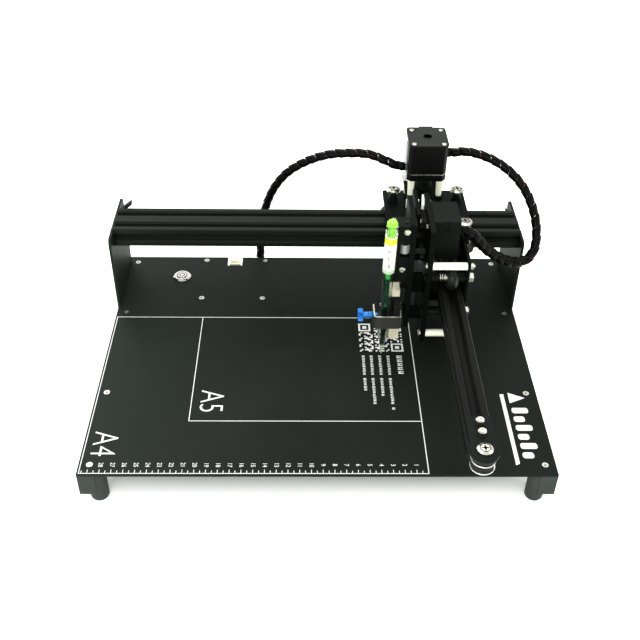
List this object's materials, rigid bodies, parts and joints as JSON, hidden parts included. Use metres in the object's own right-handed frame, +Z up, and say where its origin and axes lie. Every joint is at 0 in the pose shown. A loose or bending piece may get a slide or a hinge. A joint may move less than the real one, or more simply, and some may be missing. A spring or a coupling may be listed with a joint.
{
  "type": "desktop pen plotter",
  "caption": "Two-axis desktop drawing machine: black sheet bed on feet, slotted cross beam, belt-driven carriage with a cantilever arm and a lifting pen clamp.",
  "frame": {"origin": "centre of the bed plate's outline, on the desk surface under the feet", "axes": "+X to the right along the cross beam, +Y to the rear, +Z up"},
  "size_m": [0.4303, 0.3879, 0.2015],
  "materials": {
    "black_sheet": "satin powder coat",
    "black_aluminium": "black anodised",
    "black_plastic": "matte moulded",
    "foot_plastic": "fine textured",
    "screw_steel": "bright zinc plated",
    "nylon": "natural nylon",
    "circuit_board": "green solder mask",
    "socket_steel": "tin plated",
    "button_metal": "polished",
    "belt_rubber": "toothed belt",
    "wheel_plastic": "acetal",
    "motor_black": "satin black",
    "pulley_metal": "turned",
    "bracket_steel": "bare sheet",
    "cream_block": "machined",
    "blue_anodised": "blue anodised, knurled",
    "pen_plastic": "clear barrel",
    "cable_wrap": "spiral wrap"
  },
  "bodies": {
    "base": {"bed_plate": "black_sheet", "side_rails": "black_sheet", "front_left_foot": "foot_plastic", "front_right_foot": "foot_plastic", "rear_left_foot": "foot_plastic", "rear_right_foot": "foot_plastic", "bed_screws": "screw_steel", "controller_board": "circuit_board", "board_spacers": "nylon", "wire_header": "nylon", "usb_socket": "socket_steel", "power_socket": "black_plastic", "button_housing": "button_metal", "x_beam": "black_aluminium", "beam_end_screws": "screw_steel", "x_belt": "belt_rubber", "belt_clamps": "black_plastic", "base_cable": "cable_wrap"},
    "power_button": {"button_cap": "button_metal"},
    "x_carriage": {"carriage_plate": "black_sheet", "wheel_axles": "screw_steel", "axle_collars": "black_aluminium", "motor_mount": "black_sheet", "motor_standoffs": "nylon", "x_motor": "motor_black", "x_belt_loop": "belt_rubber", "arm_bracket": "black_aluminium", "y_motor_plate": "black_sheet", "y_motor": "motor_black", "arm_beam": "black_aluminium", "arm_nose_plate": "black_sheet", "arm_screws": "screw_steel", "y_belt": "belt_rubber", "head_cable": "cable_wrap"},
    "front_left_wheel": {"front_left_wheel": "wheel_plastic"},
    "front_right_wheel": {"front_right_wheel": "wheel_plastic"},
    "rear_left_wheel": {"rear_left_wheel": "wheel_plastic"},
    "rear_right_wheel": {"rear_right_wheel": "wheel_plastic"},
    "x_drive": {"x_drive_pulley": "black_aluminium"},
    "y_drive": {"y_drive_pulley": "pulley_metal"},
    "belt_roller": {"belt_roller": "pulley_metal"},
    "pen_head": {"left_side_plate": "black_sheet", "right_side_plate": "black_sheet", "nylon_spacers": "nylon", "head_axles": "screw_steel", "lift_servo": "black_plastic", "belt_clip": "black_plastic", "lift_guide": "black_aluminium", "guide_blocks": "black_plastic"},
    "upper_front_roller": {"upper_front_roller": "wheel_plastic"},
    "upper_rear_roller": {"upper_rear_roller": "wheel_plastic"},
    "lower_front_roller": {"lower_front_roller": "wheel_plastic"},
    "lower_rear_roller": {"lower_rear_roller": "wheel_plastic"},
    "servo_horn": {"servo_horn": "black_plastic"},
    "pen_slide": {"lift_rod": "black_aluminium", "lift_spring": "screw_steel", "pen_slider": "cream_block", "pen_clamp": "bracket_steel", "pen_barrel": "pen_plastic"},
    "thumbscrew": {"thumbscrew": "blue_anodised"}
  },
  "joints": [
    {"name": "x_slide", "type": "slide", "parent": "base", "child": "x_carriage", "axis": [1, 0, 0], "range_m": [-0.256, 0.042], "deforming": ["base_cable"]},
    {"name": "button_press", "type": "slide", "parent": "base", "child": "power_button", "axis": [0, 0, -1], "range_m": [0, 0.0018], "stiffness_N_per_m": 350, "springref_m": -0.0006},
    {"name": "y_slide", "type": "slide", "parent": "x_carriage", "child": "pen_head", "axis": [0, -1, 0], "range_m": [0, 0.158], "deforming": ["head_cable"]},
    {"name": "front_left_wheel_spin", "type": "hinge", "parent": "x_carriage", "child": "front_left_wheel", "pos_m": [0.0785, 0.071, 0.113], "axis": [0, 0, 1], "continuous": true},
    {"name": "front_right_wheel_spin", "type": "hinge", "parent": "x_carriage", "child": "front_right_wheel", "pos_m": [0.1435, 0.071, 0.113], "axis": [0, 0, 1], "continuous": true},
    {"name": "rear_left_wheel_spin", "type": "hinge", "parent": "x_carriage", "child": "rear_left_wheel", "pos_m": [0.0785, 0.131, 0.113], "axis": [0, 0, 1], "continuous": true},
    {"name": "rear_right_wheel_spin", "type": "hinge", "parent": "x_carriage", "child": "rear_right_wheel", "pos_m": [0.1435, 0.131, 0.113], "axis": [0, 0, 1], "continuous": true},
    {"name": "x_drive_spin", "type": "hinge", "parent": "x_carriage", "child": "x_drive", "pos_m": [0.108, 0.131, 0.113], "axis": [0, 0, 1], "continuous": true},
    {"name": "y_drive_spin", "type": "hinge", "parent": "x_carriage", "child": "y_drive", "pos_m": [0.1245, 0.0713, 0.101], "axis": [0, 0, 1], "continuous": true},
    {"name": "belt_roller_spin", "type": "hinge", "parent": "x_carriage", "child": "belt_roller", "pos_m": [0.1245, -0.2035, 0.101], "axis": [0, 0, 1], "continuous": true},
    {"name": "upper_front_roller_spin", "type": "hinge", "parent": "pen_head", "child": "upper_front_roller", "pos_m": [0.1245, 0.007, 0.121], "axis": [1, 0, 0], "continuous": true},
    {"name": "upper_rear_roller_spin", "type": "hinge", "parent": "pen_head", "child": "upper_rear_roller", "pos_m": [0.1245, 0.045, 0.121], "axis": [1, 0, 0], "continuous": true},
    {"name": "lower_front_roller_spin", "type": "hinge", "parent": "pen_head", "child": "lower_front_roller", "pos_m": [0.1245, 0.007, 0.081], "axis": [1, 0, 0], "continuous": true},
    {"name": "lower_rear_roller_spin", "type": "hinge", "parent": "pen_head", "child": "lower_rear_roller", "pos_m": [0.1245, 0.045, 0.081], "axis": [1, 0, 0], "continuous": true},
    {"name": "pen_lift", "type": "slide", "parent": "pen_head", "child": "pen_slide", "axis": [0, 0, 1], "range_m": [0, 0.008], "deforming": ["lift_spring"]},
    {"name": "servo_turn", "type": "hinge", "parent": "pen_head", "child": "servo_horn", "pos_m": [0.1, 0.032, 0.1438], "axis": [-1, 0, 0], "range_deg": [0, 20]},
    {"name": "thumbscrew_turn", "type": "hinge", "parent": "pen_slide", "child": "thumbscrew", "pos_m": [0.0405, -0.0045, 0.085], "axis": [1, 0, 0], "range_deg": [0, 720]}
  ],
  "couplings": [
    {"joint": "front_left_wheel_spin", "follows": "x_slide", "rad_per_m": 93.458},
    {"joint": "front_right_wheel_spin", "follows": "x_slide", "rad_per_m": 93.458},
    {"joint": "rear_left_wheel_spin", "follows": "x_slide", "rad_per_m": -93.458},
    {"joint": "rear_right_wheel_spin", "follows": "x_slide", "rad_per_m": -93.458},
    {"joint": "x_drive_spin", "follows": "x_slide", "rad_per_m": 140.85},
    {"joint": "y_drive_spin", "follows": "y_slide", "rad_per_m": 120.48},
    {"joint": "belt_roller_spin", "follows": "y_slide", "rad_per_m": 120.48},
    {"joint": "upper_front_roller_spin", "follows": "y_slide", "rad_per_m": 93.458},
    {"joint": "upper_rear_roller_spin", "follows": "y_slide", "rad_per_m": 93.458},
    {"joint": "lower_front_roller_spin", "follows": "y_slide", "rad_per_m": -93.458},
    {"joint": "lower_rear_roller_spin", "follows": "y_slide", "rad_per_m": -93.458},
    {"joint": "servo_turn", "follows": "pen_lift", "rad_per_m": 43.478}
  ]
}
